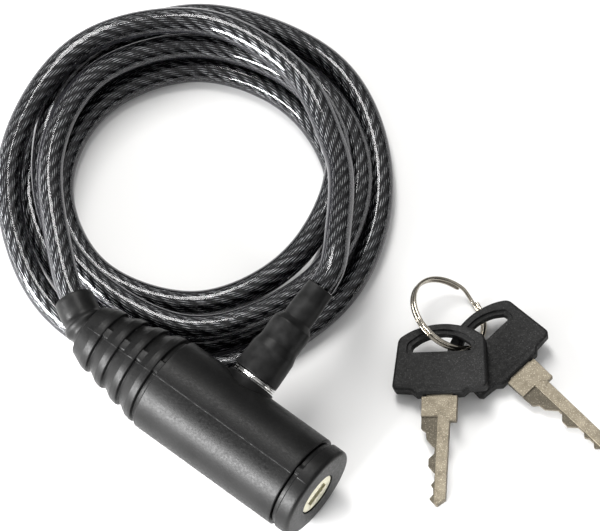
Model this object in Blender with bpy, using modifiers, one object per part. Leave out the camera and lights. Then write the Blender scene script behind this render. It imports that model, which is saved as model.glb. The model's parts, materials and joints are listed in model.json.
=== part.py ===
"""Key-operated coiled cable lock: cylinder lock with a plug-in cable end, and two keys on a ring.

Run with:  blender --background --python part.py
Lengths below are millimetres until mm() turns them into metres; +Z is up and z = 0 is the
surface that the lock, its coiled cable and its keys lie on.
"""

import math

import bmesh
import bpy
from mathutils import Matrix, Vector

OBJECT = "cable_lock"
MM = 0.001
GAP = 0.3                      # air left between touching pieces

# ---- where things lie -------------------------------------------------------------------
COIL_CENTRE = (-41.1, 78.9)    # middle of the coil
FACE_CENTRE = (-4.2, -34.6, 15.0)  # middle of the lock's key face
LOCK_HEADING = -37.9           # degrees, direction of the key face seen from above
LOCK_PITCH = 3.5               # degrees, the key face lies lower than the cable end
LOCK_ROLL = 20.5               # degrees, how far the plug socket is rolled up

# ---- lock body, measured along its axis from the first rib (0) to the key face ----------
BODY_LENGTH = 87.0
BODY_R = 15.2
COVER_END = 80.4
BORE_R = 12.75
RIB_COUNT = 4
RIB_PITCH = 6.7
RIB_WIDTH = 4.6
RIB_FIRST = 6.8                # front edge of the first rib
RIB_FIRST_R = 10.7
RIB_TAPER = 1.37               # radius gained from rib to rib
SOCKET_AT = 50.0               # plug axis along the body
COLLAR_R = 7.9
COLLAR_TOP = 16.0
PLUG_R = 6.7                   # key plug
CYLINDER_R = 9.5
CYLINDER_BACK = 60.0
WAFER_AT = (66.0, 69.0, 72.0, 75.0)
WAFER_THICKNESS = 0.8

# ---- cable plug, measured from the body's axis along the socket --------------------------
BOLT_R = 4.5
BOLT_TIP = -2.0
RING_BOTTOM = 16.3
BOOT_BOTTOM = 17.8
BOOT_LENGTH = 33.0

# ---- cable -------------------------------------------------------------------------------
CABLE_R = 4.0
JACKET_INNER_R = 2.8
ROPE_R = 2.3
CABLE_POINTS = 75              # sampled points between the strain relief and the plug
SLEEVE_R = 6.2
SLEEVE_BANDS = {9: 1.145, 10: 1.05, 11: 1.145}  # wider rings on the strain relief, by point


def mm(*values):
    return Vector([value * MM for value in values])


# ---- materials ---------------------------------------------------------------------------

def material(name, colour, roughness, metallic=0.0):
    made = bpy.data.materials.new(name)
    made.use_nodes = True
    shader = made.node_tree.nodes["Principled BSDF"]
    shader.inputs["Base Color"].default_value = (*colour, 1.0)
    shader.inputs["Roughness"].default_value = roughness
    shader.inputs["Metallic"].default_value = metallic
    return made


def make_materials():
    return {
        "cover_plastic": material("cover_plastic", (0.018, 0.018, 0.019), 0.48),
        "boot_plastic": material("boot_plastic", (0.016, 0.016, 0.016), 0.55),
        "key_plastic": material("key_plastic", (0.02, 0.02, 0.021), 0.5),
        "cable_vinyl": material("cable_vinyl", (0.02, 0.02, 0.022), 0.15),
        "wire_rope": material("wire_rope", (0.45, 0.45, 0.45), 0.35, 1.0),
        "zinc": material("zinc", (0.52, 0.52, 0.5), 0.45, 1.0),
        "steel": material("steel", (0.55, 0.55, 0.55), 0.35, 1.0),
        "chrome": material("chrome", (0.8, 0.79, 0.77), 0.08, 1.0),
        "brass": material("brass", (0.72, 0.68, 0.5), 0.4, 1.0),
        "key_nickel": material("key_nickel", (0.56, 0.52, 0.44), 0.35, 1.0),
    }


# ---- building helpers --------------------------------------------------------------------

class Shop:
    """Collections, materials and the small set of ways that pieces are made."""

    def __init__(self):
        scene = bpy.context.scene
        self.parts = bpy.data.collections.new(OBJECT)
        self.cutters = bpy.data.collections.new("cutters")
        scene.collection.children.link(self.parts)
        scene.collection.children.link(self.cutters)
        self.materials = make_materials()

    def place(self, obj, parent, location=(0, 0, 0), rotation=(0, 0, 0)):
        obj.parent = parent
        obj.location = mm(*location)
        obj.rotation_euler = [math.radians(angle) for angle in rotation]

    def add(self, name, data, slot, parent=None, location=(0, 0, 0), rotation=(0, 0, 0)):
        obj = bpy.data.objects.new(name, data)
        self.parts.objects.link(obj)
        data.materials.append(self.materials[slot])
        self.place(obj, parent, location, rotation)
        return obj

    def cutter(self, name, data, parent=None, location=(0, 0, 0), rotation=(0, 0, 0)):
        obj = bpy.data.objects.new(name, data)
        self.cutters.objects.link(obj)
        obj.hide_render = True
        obj.display_type = "WIRE"
        self.place(obj, parent, location, rotation)
        return obj


def empty(name, matrix):
    obj = bpy.data.objects.new(name, None)
    bpy.context.scene.collection.objects.link(obj)
    obj.matrix_world = matrix
    return obj


def smooth(mesh, angle=35.0):
    mesh.shade_smooth()
    mesh.set_sharp_from_angle(angle=math.radians(angle))


def mesh_from(bm, name):
    mesh = bpy.data.meshes.new(name)
    bm.to_mesh(mesh)
    bm.free()
    smooth(mesh)
    return mesh


def rod(name, radius, start, end, segments=24):
    """Cylinder along +Z from start to end."""
    bm = bmesh.new()
    bmesh.ops.create_cone(bm, cap_ends=True, segments=segments, radius1=radius * MM,
                          radius2=radius * MM, depth=(end - start) * MM)
    bmesh.ops.translate(bm, verts=bm.verts, vec=mm(0, 0, (start + end) / 2))
    return mesh_from(bm, name)


def block(name, low, high):
    """Box between two corners."""
    bm = bmesh.new()
    bmesh.ops.create_cube(bm, size=1.0)
    size = [(b - a) * MM for a, b in zip(low, high)]
    middle = [(a + b) / 2 for a, b in zip(low, high)]
    bmesh.ops.scale(bm, verts=bm.verts, vec=size)
    bmesh.ops.translate(bm, verts=bm.verts, vec=mm(*middle))
    return mesh_from(bm, name)


def turned(name, outline, closed=True):
    """Half section of a turned piece: (height, radius) pairs, down the outer side first."""
    mesh = bpy.data.meshes.new(name)
    points = [mm(radius, 0, height) for height, radius in outline]
    count = len(points)
    edges = [(i, i + 1) for i in range(count - 1)]
    if closed:
        edges.append((count - 1, 0))
    mesh.from_pydata(points, edges, [])
    return mesh


def spin(obj, steps=24):
    screw = obj.modifiers.new("turn", "SCREW")
    screw.steps = steps
    screw.render_steps = steps
    screw.use_merge_vertices = True
    screw.merge_threshold = 0.00001
    return obj


def cut(obj, cutter, operation="DIFFERENCE"):
    modifier = obj.modifiers.new(cutter.name, "BOOLEAN")
    modifier.operation = operation
    modifier.object = cutter
    return obj


def polyline(name, points, radius, resolution=3, radii=None, cyclic=False, caps=True):
    """Tube of round section along points (metres)."""
    curve = bpy.data.curves.new(name, "CURVE")
    curve.dimensions = "3D"
    curve.bevel_depth = radius * MM
    curve.bevel_resolution = resolution
    curve.use_fill_caps = caps
    spline = curve.splines.new("POLY")
    spline.points.add(len(points) - 1)
    for i, point in enumerate(points):
        spline.points[i].co = (*point, 1.0)
        spline.points[i].radius = radii[i] if radii else 1.0
    spline.use_cyclic_u = cyclic
    return curve


def curve_mesh(name, curve):
    """Closed mesh of a curve's tube, with its caps welded on."""
    holder = bpy.data.objects.new(name, curve)
    bpy.context.scene.collection.objects.link(holder)
    graph = bpy.context.evaluated_depsgraph_get()
    mesh = bpy.data.meshes.new_from_object(holder.evaluated_get(graph))
    bpy.data.objects.remove(holder)
    bm = bmesh.new()
    bm.from_mesh(mesh)
    bmesh.ops.remove_doubles(bm, verts=bm.verts, dist=0.000001)
    bmesh.ops.recalc_face_normals(bm, faces=bm.faces)
    bm.to_mesh(mesh)
    bm.free()
    smooth(mesh)
    mesh.name = name
    return mesh


def coil_points(start, end, radius, turns, per_turn=10, centre=(0, 0)):
    """Helix about Z, in millimetres made metres."""
    count = int(turns * per_turn)
    points = []
    for i in range(count + 1):
        angle = 2 * math.pi * i / per_turn
        height = start + (end - start) * i / count
        points.append(mm(centre[0] + radius * math.cos(angle),
                         centre[1] + radius * math.sin(angle), height))
    return points


def plate(name, outline, thickness, holes=(), edge=0.0):
    """Flat curve plate centred on z = 0, extruded to its thickness, with rounded edges."""
    curve = bpy.data.curves.new(name, "CURVE")
    curve.dimensions = "2D"
    curve.fill_mode = "BOTH"
    curve.extrude = (thickness / 2 - edge) * MM
    curve.bevel_depth = edge * MM
    curve.bevel_resolution = 0
    curve.offset = -edge * MM
    for ring in (outline, *holes):
        spline = curve.splines.new("POLY")
        spline.points.add(len(ring) - 1)
        for i, (x, y) in enumerate(ring):
            spline.points[i].co = (x * MM, y * MM, 0, 1)
        spline.use_cyclic_u = True
    return curve_mesh(name, curve)


def arc(centre, radius, start, end, steps):
    """Points on a circle, from one angle to another, in degrees."""
    points = []
    for i in range(steps + 1):
        angle = math.radians(start + (end - start) * i / steps)
        points.append((centre[0] + radius * math.cos(angle), centre[1] + radius * math.sin(angle)))
    return points


# ---- frames ------------------------------------------------------------------------------

def lock_matrix():
    """Lock frame: +X to the key face, +Y out of the socket, origin at the first rib."""
    heading = math.radians(LOCK_HEADING)
    pitch = math.radians(LOCK_PITCH)
    roll = math.radians(LOCK_ROLL)
    along = Vector((math.cos(pitch) * math.cos(heading), math.cos(pitch) * math.sin(heading),
                    -math.sin(pitch)))
    level = Vector((-math.sin(heading), math.cos(heading), 0.0))
    upward = along.cross(level)
    socket = math.cos(roll) * level + math.sin(roll) * upward
    side = along.cross(socket)
    origin = mm(*FACE_CENTRE) - along * BODY_LENGTH * MM
    return Matrix.Translation(origin) @ Matrix((along, socket, side)).transposed().to_4x4()


# ---- the cable's route -------------------------------------------------------------------
# From above, as angle round the coil (degrees, 0 = +X), radius and height. The tail leaves the
# lock at 237 degrees and winds clockwise four times before it climbs into the plug's boot.

TAIL_ROUTE = (                 # world X, Y from the coil's centre, height
    (-24.5, -65.7, 19.7),
    (-28.45, -62.65, 20.0),
    (-31.5, -60.0, 20.3),
    (-34.0, -56.0, 20.8),
    (-36.6, -50.0, 21.5),
)
TURN_ANGLES = (225, 180, 135, 90, 45, 0, -45, -90)
TURN_LAYS = (                  # radius and height at each of TURN_ANGLES
    ((56.3, 21.8), (44.5, 19.6), (44.5, 17.1), (45.6, 12.4), (45.0, 12.4), (43.6, 17.2),
     (42.0, 10.0), (42.2, 4.0)),
    ((42.9, 4.0), (42.0, 4.0), (41.8, 4.0), (42.0, 4.0), (41.6, 4.0), (43.8, 4.0),
     (50.0, 4.0), (55.8, 4.0)),
    ((52.3, 4.0), (51.5, 4.0), (51.3, 4.0), (51.2, 4.0), (51.2, 4.8), (50.0, 10.6),
     (52.5, 12.0), (55.2, 12.2)),
    ((48.8, 11.7), (46.8, 11.3), (52.4, 12.4), (57.2, 10.4), (59.9, 4.5), (56.4, 4.0),
     (59.6, 4.0), (64.9, 4.0)),
    ((61.8, 4.6), (57.4, 12.9), (53.4, 21.4), (48.6, 21.6), (42.4, 22.2), (42.3, 25.8)),
)
PLUG_ROUTE = (                 # angle, radius, height
    (-20.0, 47.0, 30.4),
    (-41.8, 57.2, 35.8),
)


def on_coil(angle, radius, height):
    turn = math.radians(angle)
    x, y = COIL_CENTRE
    return mm(x + radius * math.cos(turn), y + radius * math.sin(turn), height)


def spline_points(points, steps):
    """Catmull-Rom curve through points, with a number of steps from each to the next."""
    ends = [points[0] * 2 - points[1], *points, points[-1] * 2 - points[-2]]
    made = []
    for a, b, c, d in zip(ends, ends[1:], ends[2:], ends[3:]):
        for i in range(steps):
            t = i / steps
            made.append(0.5 * (2 * b + (c - a) * t + (2 * a - 5 * b + 4 * c - d) * t ** 2
                               + (3 * b - a - 3 * c + d) * t ** 3))
    made.append(points[-1])
    return made


def even_points(points, count):
    """The same line, as points at an even distance."""
    reach = [0.0]
    for a, b in zip(points, points[1:]):
        reach.append(reach[-1] + (b - a).length)
    made = []
    at = 0
    for i in range(count):
        want = reach[-1] * i / (count - 1)
        while at < len(points) - 2 and reach[at + 1] < want:
            at += 1
        part = (want - reach[at]) / (reach[at + 1] - reach[at])
        made.append(points[at].lerp(points[at + 1], part))
    return made


def tail_points():
    """Route inside the ribs and the strain relief."""
    x, y = COIL_CENTRE
    return [mm(x + px, y + py, pz) for px, py, pz in TAIL_ROUTE]


def cable_points(lock):
    """Whole route: the tail, the coil resting on the table, and the rise into the boot."""
    tail = tail_points()
    coil = []
    for turn, lays in enumerate(TURN_LAYS):
        for angle, (radius, height) in zip(TURN_ANGLES, lays):
            coil.append(on_coil(angle - 360 * turn, radius, height))
    rise = [on_coil(*row) for row in PLUG_ROUTE]
    boot_end = BOOT_BOTTOM + BOOT_LENGTH
    near, end = [lock @ mm(SOCKET_AT, boot_end + ahead, 0) for ahead in (6.0, GAP)]
    steps = 12
    loose = spline_points([*tail[-2:], *coil, *rise, near, end], steps)[steps:-steps]
    for point in loose:
        point.z = max(point.z, CABLE_R * MM)
    return spline_points(tail, 2)[:-1] + even_points(loose, CABLE_POINTS) + [end]


# ---- the lock's outside ------------------------------------------------------------------

def cover_outline():
    """Outer side from the front end back over the four ribs, then the bore."""
    outline = [(COVER_END, BORE_R), (COVER_END, BODY_R - 0.5), (COVER_END - 0.5, BODY_R)]
    shoulder = RIB_FIRST + RIB_PITCH * (RIB_COUNT - 1) + 2.1
    outline += [(shoulder, BODY_R), (shoulder - 0.3, BODY_R - 1.2)]
    for rib in reversed(range(RIB_COUNT)):
        front = RIB_FIRST + RIB_PITCH * rib
        radius = RIB_FIRST_R + RIB_TAPER * rib
        back = front - (RIB_WIDTH if rib else RIB_WIDTH + 0.8)
        outline += [(front + 0.3, radius - 1.1), (front, radius - 0.1), (front - 1.6, radius - 0.2),
                    (back, radius - 1.8)]
    outline += [(0.0, RIB_FIRST_R - 2.4), (0.0, 7.6), (20.0, 7.6), (22.4, BORE_R)]
    return outline


def make_cover(shop, lock):
    cover = spin(shop.add("body_cover", turned("body_cover", cover_outline()), "cover_plastic",
                          lock, rotation=(0, 90, 0)), 36)
    hole = shop.cutter("cover_hole", rod("cover_hole", COLLAR_R + GAP, 6.0, 20.0, 32), lock,
                       (SOCKET_AT, 0, 0), (-90, 0, 0))
    cut(cover, hole)


def make_end_cap(shop, lock):
    face = BODY_LENGTH
    rim = BODY_R - 0.2
    outline = [(face, PLUG_R + GAP), (face, rim - 1.5)]
    outline += [(face - 1.5 + 1.5 * math.sin(math.radians(turn)),
                 rim - 1.5 + 1.5 * math.cos(math.radians(turn))) for turn in (60, 30, 0)]
    outline += [(COVER_END + 1.7, rim), (COVER_END + 1.4, rim - 0.9), (COVER_END + GAP, rim - 0.9),
                (COVER_END + GAP, BORE_R - GAP), (77.8, BORE_R - GAP), (77.8, CYLINDER_R + GAP),
                (85.3, CYLINDER_R + GAP), (85.3, PLUG_R + GAP)]
    spin(shop.add("end_cap", turned("end_cap", outline), "cover_plastic", lock,
                  rotation=(0, 90, 0)), 36)


def make_collar(shop, lock):
    low = BORE_R + 0.1
    outline = [(COLLAR_TOP, BOLT_R + GAP), (COLLAR_TOP, COLLAR_R - 0.6),
               (COLLAR_TOP - 0.6, COLLAR_R), (low, COLLAR_R), (low, BOLT_R + GAP)]
    spin(shop.add("socket_collar", turned("socket_collar", outline), "cover_plastic", lock,
                  (SOCKET_AT, 0, 0), (-90, 0, 0)), 24)


def make_strain_relief(shop):
    """Moulded sleeve round the cable's tail, with two small rings on its neck."""
    path = spline_points(tail_points(), 4)
    radii = [SLEEVE_BANDS.get(i, 1.0) for i in range(len(path))]
    outer = polyline("strain_relief", path, SLEEVE_R, 4, radii)
    sleeve = shop.add("strain_relief", curve_mesh("strain_relief", outer), "boot_plastic")
    inner_path = spline_points(tail_points(), 2)
    first = inner_path[0] * 2 - inner_path[1]
    last = inner_path[-1] * 2 - inner_path[-2]
    bore = polyline("strain_relief_bore", [first, *inner_path[1:-1], last], CABLE_R + 2 * GAP, 3)
    cut(sleeve, shop.cutter("strain_relief_bore", curve_mesh("strain_relief_bore", bore)))


# ---- the lock's inside -------------------------------------------------------------------

def make_barrel(shop, lock):
    """Die-cast inner body: bore for the key cylinder, cam chamber, rope hole and plug bore."""
    front, back = 77.4, 22.9
    radius = BORE_R - GAP
    outline = [(front, CYLINDER_R + GAP), (front, radius), (back + 0.6, radius), (back, radius - 0.6),
               (back, ROPE_R + 0.4), (27.0, ROPE_R + 0.4), (27.0, 5.3), (54.9, 5.3), (54.9, 6.6),
               (59.7, 6.6), (59.7, CYLINDER_R + GAP)]
    barrel = spin(shop.add("barrel", turned("barrel", outline), "zinc", lock,
                           rotation=(0, 90, 0)))
    cuts = (
        ("barrel_plug_bore", rod("barrel_plug_bore", BOLT_R + GAP, -11.2, 14.0), (SOCKET_AT, 0, 0),
         (-90, 0, 0)),
        ("barrel_latch_slot", block("barrel_latch_slot", (44.6, 2.1, 2.0), (58.4, 5.1, 11.4)),
         (0, 0, 0), (0, 0, 0)),
        ("barrel_pin_hole", rod("barrel_pin_hole", 1.5, 8.0, 14.0, 12), (70.5, 0, 0), (135, 0, 0)),
    )
    for name, mesh, location, rotation in cuts:
        cut(barrel, shop.cutter(name, mesh, lock, location, rotation))


def make_cylinder(shop, lock):
    """Key cylinder: fixed shell with four wafer grooves, and the plug that turns in it."""
    front = 85.0
    shell = spin(shop.add("cylinder_shell", turned("cylinder_shell", [
        (front, PLUG_R + GAP), (front, CYLINDER_R), (CYLINDER_BACK, CYLINDER_R),
        (CYLINDER_BACK, PLUG_R + GAP)]), "brass", lock, rotation=(0, 90, 0)))
    reach, half = 8.1, 2.8
    for name, low, high in (
            ("groove_y", (62.0, -reach, -half), (83.0, reach, half)),
            ("groove_z", (62.0, -half, -reach), (83.0, half, reach))):
        cut(shell, shop.cutter(name, block(name, low, high), lock))
    hole = rod("shell_pin_hole", 1.5, 7.6, 14.0, 12)
    cut(shell, shop.cutter("shell_pin_hole", hole, lock, (70.5, 0, 0), (135, 0, 0)))
    spin(shop.add("cylinder_pin", turned("cylinder_pin", [
        (12.1, 0.0), (12.1, 1.0), (11.9, 1.2), (8.1, 1.2), (7.9, 1.0), (7.9, 0.0)], False),
        "steel", lock, (70.5, 0, 0), (135, 0, 0)), 12)


def make_key_plug(shop, lock):
    front, back, tail = 86.7, 60.4, 55.9
    plug = spin(shop.add("key_plug", turned("key_plug", [
        (front, 0.0), (front, PLUG_R - 0.2), (front - 0.2, PLUG_R), (back, PLUG_R), (back, 2.6),
        (tail, 2.6), (tail, 0.0)], False), "brass", lock, rotation=(0, 90, 0)), 32)
    cut(plug, shop.cutter("keyway", block("keyway", (62.5, -3.8, -1.3), (90.0, 3.8, 1.3)), lock))
    for i, at in enumerate(WAFER_AT):
        low, high = at - WAFER_THICKNESS / 2 - GAP, at + WAFER_THICKNESS / 2 + GAP
        name = f"wafer_slot_{i}"
        cut(plug, shop.cutter(name, block(name, (low, -8.0, -2.6), (high, 8.0, 2.6)), lock))
        name = f"wafer_ear_slot_{i}"
        cut(plug, shop.cutter(name, block(name, (low, -4.6, 2.0), (high, 1.6, 4.6)), lock))


def make_wafers(shop, lock):
    """Four windowed wafers with a spring ear, and a small spring under each ear."""
    outline = [(-6.15, -2.3), (6.15, -2.3), (6.15, 2.3), (0.6, 2.3), (0.6, 4.1), (-0.4, 4.1),
               (-0.4, 2.3), (-6.15, 2.3)]
    window = [(-3.9, -1.4), (3.9, -1.4), (3.9, 1.4), (-3.9, 1.4)]
    coil = [Vector((point.x, point.z, point.y)) for point in coil_points(-4.3, -0.8, 0.38, 3, 6)]
    for i, at in enumerate(WAFER_AT):
        shop.add(f"wafer_{i + 1}", plate(f"wafer_{i + 1}", outline, WAFER_THICKNESS, (window,)),
                 "brass", lock, (at, 0, 0), (90, 0, 90))
        shop.add(f"wafer_spring_{i + 1}", polyline(f"wafer_spring_{i + 1}", coil, 0.13, 1),
                 "steel", lock, (at, 0, 3.4))


def make_cam(shop, lock):
    """Disc on the key plug's tail; its drive pin lifts the latch."""
    cam = spin(shop.add("tail_cam", turned("tail_cam", [
        (59.6, 2.9), (59.6, 6.2), (57.6, 6.2), (57.6, 2.9)]), "steel", lock,
        rotation=(0, 90, 0)))
    drive = rod("cam_drive_pin", 0.9, 55.4, 58.6, 12)
    cut(cam, shop.cutter("cam_drive_pin", drive, lock, (0, 3.4, 3.7), (0, 90, 0)), "UNION")
    clip = arc((0, 0), 3.6, 35, 325, 12) + arc((0, 0), 2.9, 325, 35, 12)
    shop.add("plug_clip", plate("plug_clip", clip, 0.6), "steel", lock, (56.7, 0, 0), (0, 90, 0))


def make_latch(shop, lock):
    """Plate that drops into the bolt's groove, and the spring that pushes it there."""
    latch = shop.add("latch", block("latch", (45.4, 2.5, 4.95), (57.1, 4.7, 8.2)), "steel", lock)
    bevel = latch.modifiers.new("edges", "BEVEL")
    bevel.width = 0.25 * MM
    bevel.segments = 1
    helix = coil_points(8.5, 11.1, 0.85, 3, 6)
    shop.add("latch_spring", polyline("latch_spring", helix, 0.2, 1), "steel", lock,
             (51.0, 3.6, 0))


def make_ejector(shop, lock):
    """Spring plunger under the bolt, which pushes the freed plug out."""
    spin(shop.add("ejector", turned("ejector", [
        (BOLT_TIP - GAP, 0.0), (BOLT_TIP - GAP, 3.6), (BOLT_TIP - GAP - 0.5, 4.2), (-6.2, 4.2),
        (-6.2, 2.2), (-3.4, 2.2), (-3.4, 0.0)], False), "zinc", lock, (SOCKET_AT, 0, 0),
        (-90, 0, 0)), 20)
    helix = coil_points(-10.7, -3.9, 1.5, 4, 8)
    shop.add("ejector_spring", polyline("ejector_spring", helix, 0.3, 1), "steel", lock,
             (SOCKET_AT, 0, 0), (-90, 0, 0))


def make_anchor(shop, lock):
    """Crimped ferrule that holds the wire rope's end behind the barrel's wall."""
    hollow = ROPE_R + 0.35
    spin(shop.add("anchor_ferrule", turned("anchor_ferrule", [
        (40.0, hollow), (40.0, 4.6), (39.4, 5.0), (31.0, 5.0), (30.2, 4.4), (29.0, 4.4),
        (28.4, 5.0), (27.5, 5.0), (27.5, hollow)]), "steel", lock, rotation=(0, 90, 0)), 16)


# ---- the cable's end plug ----------------------------------------------------------------

def make_plug(shop, lock):
    """Steel bolt, chrome ring, crimp ferrule and moulded boot, all on the socket's axis."""
    place = {"parent": lock, "location": (SOCKET_AT, 0, 0), "rotation": (-90, 0, 0)}
    tip = BOLT_TIP
    spin(shop.add("plug_bolt", turned("plug_bolt", [
        (25.0, 0.0), (25.0, 2.9), (16.0, 2.9), (16.0, BOLT_R), (5.4, BOLT_R), (5.0, 2.6),
        (2.2, 2.6), (1.8, BOLT_R), (tip + 1.4, BOLT_R), (tip, BOLT_R - 1.4), (tip, 0.0)], False),
        "steel", **place), 20)
    ring = RING_BOTTOM
    spin(shop.add("plug_ring", turned("plug_ring", [
        (ring + 1.2, 3.2), (ring + 1.2, 7.1), (ring + 0.9, 7.4), (ring + 0.3, 7.4), (ring, 7.1),
        (ring, 3.2)]), "chrome", **place))
    hollow = ROPE_R + 0.35
    spin(shop.add("plug_ferrule", turned("plug_ferrule", [
        (40.0, hollow), (40.0, 3.6), (18.2, 3.6), (18.2, 3.2), (25.3, 3.2), (25.3, hollow)]),
        "steel", **place), 16)
    low, high = BOOT_BOTTOM, BOOT_BOTTOM + BOOT_LENGTH
    side = [(33.0, 4.5), (23.0, 4.8), (21.3, 5.0), (20.2, 5.5), (19.2, 6.1), (17.6, 6.5),
            (13.5, 6.5), (11.0, 6.7), (9.2, 7.2), (6.0, 7.4), (0.5, 7.5)]
    outline = [(high, hollow)] + [(low + along, radius) for along, radius in side]
    outline += [(low, 7.1), (low, 3.9), (40.3, 3.9), (40.3, hollow)]
    spin(shop.add("plug_boot", turned("plug_boot", outline), "boot_plastic", **place))


# ---- the cable ---------------------------------------------------------------------------

def make_cable(shop, lock):
    """Vinyl jacket as a hollow tube, and the wire rope inside it from crimp to crimp."""
    points = cable_points(lock)
    tube = polyline("cable_jacket", points, JACKET_INNER_R, 2, caps=False)
    jacket = shop.add("cable_jacket", curve_mesh("cable_jacket", tube), "cable_vinyl")
    wall = jacket.modifiers.new("wall", "SOLIDIFY")
    wall.thickness = (CABLE_R - JACKET_INNER_R) * MM
    wall.offset = 1.0
    wall.use_even_offset = True
    first = [lock @ mm(at, 0, 0) for at in (39.5, 24.0, 16.0)]
    boot_end = BOOT_BOTTOM + BOOT_LENGTH
    last = [lock @ mm(SOCKET_AT, boot_end - depth, 0) for depth in (4.0, 20.0)]
    shop.add("cable_rope", polyline("cable_rope", [*first, *points, *last], ROPE_R, 1), "wire_rope")


# ---- keys --------------------------------------------------------------------------------
# Each key's frame has its origin in the middle of the head's slot, +Y to the head's dome and
# +Z out of its upper side.

KEYS = (                       # name, slot centre, heading of +X, slope of +X, slope of +Y
    ("key_a", (33.5, 20.7, 8.2), -4.0, 0.20, 0.108),
    ("key_b", (45.2, 25.8, 5.4), 43.5, 0.15, 0.06),
)
HEAD_THICKNESS = 4.4
BLADE_THICKNESS = 2.0
RING_CENTRE = (35.5, 31.4, 7.9)
RING_TILT = 31.0               # degrees about Y, the ring's right side lies on the table
RING_LEAN = -8.0               # degrees about X
RING_R = 12.5
RING_WIRE_R = 0.6
RING_LAYER = 0.65              # height of each turn of wire above or below the ring's middle
RING_START = 66                # degrees, the lower wire end
RING_STEP = 30                 # degrees over which the wire climbs to the second turn
BLADE_CUTS = (                 # cut edge of the blade, from the shoulder to the tip
    (-5.5, -17.3), (-5.3, -27.7), (-3.8, -28.8), (-3.5, -31.2), (-0.9, -34.2), (-0.9, -35.9),
    (-2.6, -37.6), (-2.6, -40.0), (-0.5, -42.4), (-0.5, -44.9), (-1.6, -46.1), (-0.8, -47.2),
    (-0.7, -49.2), (-1.9, -50.6), (0.4, -53.0),
)


def key_matrix(place, heading, rise_x, rise_y):
    turn = math.radians(heading)
    across = Vector((math.cos(turn), math.sin(turn), rise_x)).normalized()
    up = Vector((-math.sin(turn), math.cos(turn), rise_y))
    normal = across.cross(up).normalized()
    up = normal.cross(across)
    return Matrix.Translation(mm(*place)) @ Matrix((across, up, normal)).transposed().to_4x4()


def head_outline():
    dome = arc((0, -16.4), 22.4, 121, 59, 8)
    right = [(13.4, 1.2), (14.6, -14.2), (13.7, -15.2), (8.8, -15.6), (7.2, -17.0)]
    left = [(-x, y) for x, y in reversed(right)]
    return dome + right + left


def slot_outline():
    top = arc((0, -10.6), 13.5, 127, 53, 6)
    return top + arc((8.0, -1.9), 1.1, 0, -90, 2) + arc((-8.0, -1.9), 1.1, -90, -180, 2)


def make_keys(shop):
    tang = 4.0
    for name, place, heading, rise_x, rise_y in KEYS:
        frame = empty(f"{name}_frame", key_matrix(place, heading, rise_x, rise_y))
        head = shop.add(f"{name}_head", plate(f"{name}_head", head_outline(), HEAD_THICKNESS,
                                              (slot_outline(),), 0.7), "key_plastic", frame)
        half = BLADE_THICKNESS / 2
        pocket = block(f"{name}_pocket", (-tang - GAP, -20.0, -half - GAP),
                       (tang + GAP, -6.7, half + GAP))
        cut(head, shop.cutter(f"{name}_pocket", pocket, frame))
        outline = [(-tang, -17.3), *BLADE_CUTS, (3.2, -51.0), (3.4, -25.6), (5.5, -25.6),
                   (5.5, -17.3), (tang, -17.3), (tang, -7.0), (-tang, -7.0)]
        blade = shop.add(f"{name}_blade", plate(f"{name}_blade", outline, BLADE_THICKNESS),
                         "key_nickel", frame)
        groove = block(f"{name}_groove", (-7.0, -60.0, 0.3), (-0.2, -23.8, 5.0))
        cut(blade, shop.cutter(f"{name}_groove", groove, frame))


def ring_points():
    """Two flat turns of wire on each other, with one short climb between them."""
    points = []
    for turn in range(0, 720 - RING_STEP + 1, 15):
        climb = min(max((turn - 360) / RING_STEP + 1, 0.0), 1.0)
        height = RING_LAYER * (2 * climb - 1)
        angle = math.radians(RING_START + turn)
        points.append(mm(RING_R * math.cos(angle), RING_R * math.sin(angle), height))
    return points


def make_ring(shop):
    """Split ring of round wire."""
    tilt = Matrix.Rotation(math.radians(RING_TILT), 4, "Y")
    tilt = tilt @ Matrix.Rotation(math.radians(RING_LEAN), 4, "X")
    frame = empty("ring_frame", Matrix.Translation(mm(*RING_CENTRE)) @ tilt)
    shop.add("split_ring", polyline("split_ring", ring_points(), RING_WIRE_R, 1), "steel", frame)


def main():
    for obj in list(bpy.data.objects):
        bpy.data.objects.remove(obj)
    shop = Shop()
    matrix = lock_matrix()
    lock = empty("lock_frame", matrix)
    make_cover(shop, lock)
    make_end_cap(shop, lock)
    make_collar(shop, lock)
    make_strain_relief(shop)
    make_barrel(shop, lock)
    make_cylinder(shop, lock)
    make_key_plug(shop, lock)
    make_wafers(shop, lock)
    make_cam(shop, lock)
    make_latch(shop, lock)
    make_ejector(shop, lock)
    make_anchor(shop, lock)
    make_plug(shop, lock)
    make_cable(shop, matrix)
    make_keys(shop)
    make_ring(shop)


main()
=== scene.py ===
"""Looks of the coiled cable lock and its keys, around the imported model.

Lengths are millimetres until mm() turns them into metres, as in part.py.
"""

import json
import math

import bmesh
import bpy
import numpy as np
from mathutils import Matrix, Vector


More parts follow.
